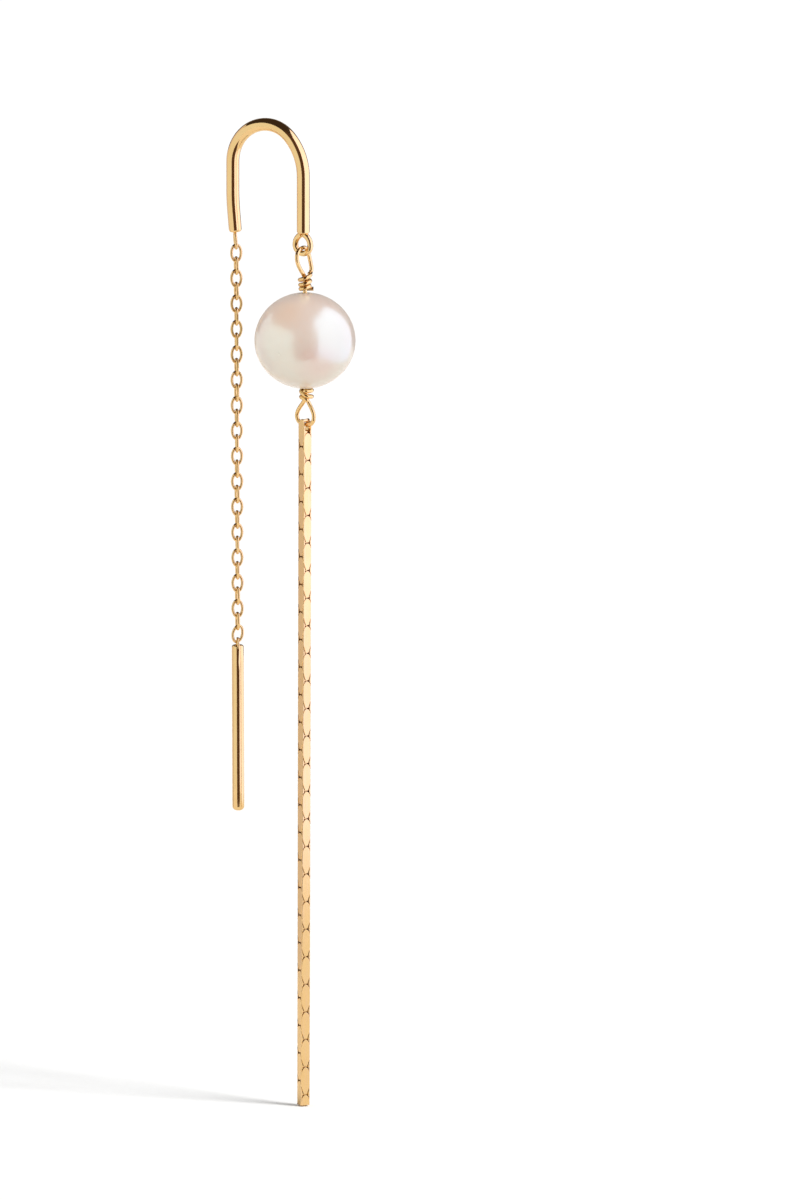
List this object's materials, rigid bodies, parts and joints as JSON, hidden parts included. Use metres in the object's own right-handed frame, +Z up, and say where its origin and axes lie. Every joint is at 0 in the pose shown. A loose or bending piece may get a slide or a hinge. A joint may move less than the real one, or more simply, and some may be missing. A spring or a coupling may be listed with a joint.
{
  "type": "pearl threader earring",
  "caption": "Threader drop earring: a U of round gold wire with a cable chain and slim bar on one leg, and a drilled pearl with a long square chain on the other.",
  "frame": {"origin": "inner top of the ear wire's arch, where the lobe carries the earring", "axes": "+Z up, +X from the bar's leg to the pearl's leg, +Y from the front of the ear to the back"},
  "size_m": [0.0112, 0.008, 0.0796],
  "materials": {
    "gold_polished": "polished gold plate on round wire",
    "gold_chain": "polished gold plate on fine cable links",
    "gold_fine_wire": "drawn gold wire, hand wrapped",
    "gold_square_chain": "burnished flat gold plates",
    "pearl": "nacre, soft pink and cream lustre"
  },
  "bodies": {
    "ear_hook": {"ear_wire": "gold_polished", "threader_chain": "gold_chain", "threader_bar": "gold_polished"},
    "pearl_drop": {"pearl": "pearl", "pearl_wire": "gold_fine_wire", "drop_chain": "gold_square_chain"}
  },
  "joints": [
    {"name": "drop_swing", "type": "hinge", "parent": "ear_hook", "child": "pearl_drop", "pos_m": [0.00329, 0, -0.00972], "axis": [1, 0, 0], "range_deg": [-60, 60]}
  ]
}
